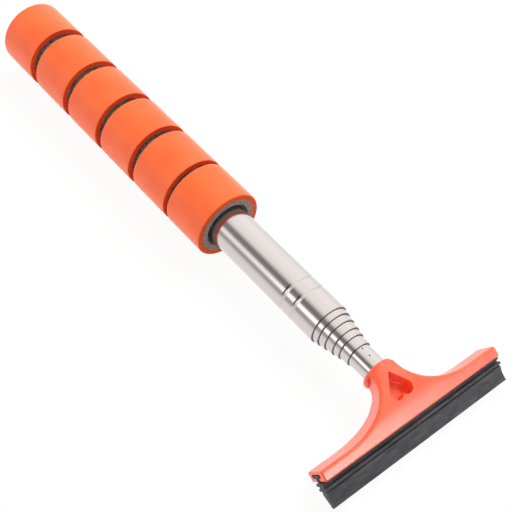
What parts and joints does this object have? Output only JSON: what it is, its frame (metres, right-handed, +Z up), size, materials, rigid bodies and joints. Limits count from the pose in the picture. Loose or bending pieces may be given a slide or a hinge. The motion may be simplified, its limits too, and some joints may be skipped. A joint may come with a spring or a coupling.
{
  "type": "telescopic squeegee",
  "caption": "Hand squeegee with a grooved foam grip, a polished telescopic tube, a bent plastic T head with a heart-shaped pocket, and a rubber wiper blade.",
  "frame": {"origin": "on the surface that the grip lies on, under the middle of the closed tool", "axes": "+X along the handle from the butt to the blade, +Y along the blade, +Z up, out of the front of the head"},
  "size_m": [0.2568, 0.0854, 0.0299],
  "materials": {
    "orange_foam": "matte closed-cell foam",
    "grey_foam": "matte cut foam",
    "polished_steel": "polished stainless steel",
    "brass": "drawn",
    "black_plastic": "moulded",
    "orange_plastic": "glossy moulded",
    "charcoal_rubber": "smooth extruded"
  },
  "bodies": {
    "handle": {"grip_core": "grey_foam", "grip_band_1": "orange_foam", "grip_band_2": "orange_foam", "grip_band_3": "orange_foam", "grip_band_4": "orange_foam", "grip_band_5": "orange_foam", "grip_band_6": "orange_foam", "main_tube": "polished_steel", "base_plug": "black_plastic"},
    "section_2": {"tube_section_2": "polished_steel", "guide_bush_2": "brass"},
    "section_3": {"tube_section_3": "polished_steel", "guide_bush_3": "brass"},
    "section_4": {"tube_section_4": "polished_steel", "guide_bush_4": "brass"},
    "section_5": {"tube_section_5": "polished_steel", "guide_bush_5": "brass"},
    "section_6": {"tube_section_6": "polished_steel", "guide_bush_6": "brass"},
    "rod_bush": {"guide_bush_7": "brass"},
    "rod_and_head": {"rod": "polished_steel", "head": "orange_plastic", "blade": "charcoal_rubber"}
  },
  "joints": [
    {"name": "slide_2", "type": "slide", "parent": "handle", "child": "section_2", "axis": [1, 0, 0], "range_m": [0, 0.1274]},
    {"name": "slide_3", "type": "slide", "parent": "section_2", "child": "section_3", "axis": [1, 0, 0], "range_m": [0, 0.1358]},
    {"name": "slide_4", "type": "slide", "parent": "section_3", "child": "section_4", "axis": [1, 0, 0], "range_m": [0, 0.1266]},
    {"name": "slide_5", "type": "slide", "parent": "section_4", "child": "section_5", "axis": [1, 0, 0], "range_m": [0, 0.1177]},
    {"name": "slide_6", "type": "slide", "parent": "section_5", "child": "section_6", "axis": [1, 0, 0], "range_m": [0, 0.1083]},
    {"name": "slide_7", "type": "slide", "parent": "section_6", "child": "rod_bush", "axis": [1, 0, 0], "range_m": [0, 0.1001]},
    {"name": "head_swivel", "type": "hinge", "parent": "rod_bush", "child": "rod_and_head", "pos_m": [0, 0, 0.01493], "axis": [1, 0, 0], "continuous": true}
  ]
}
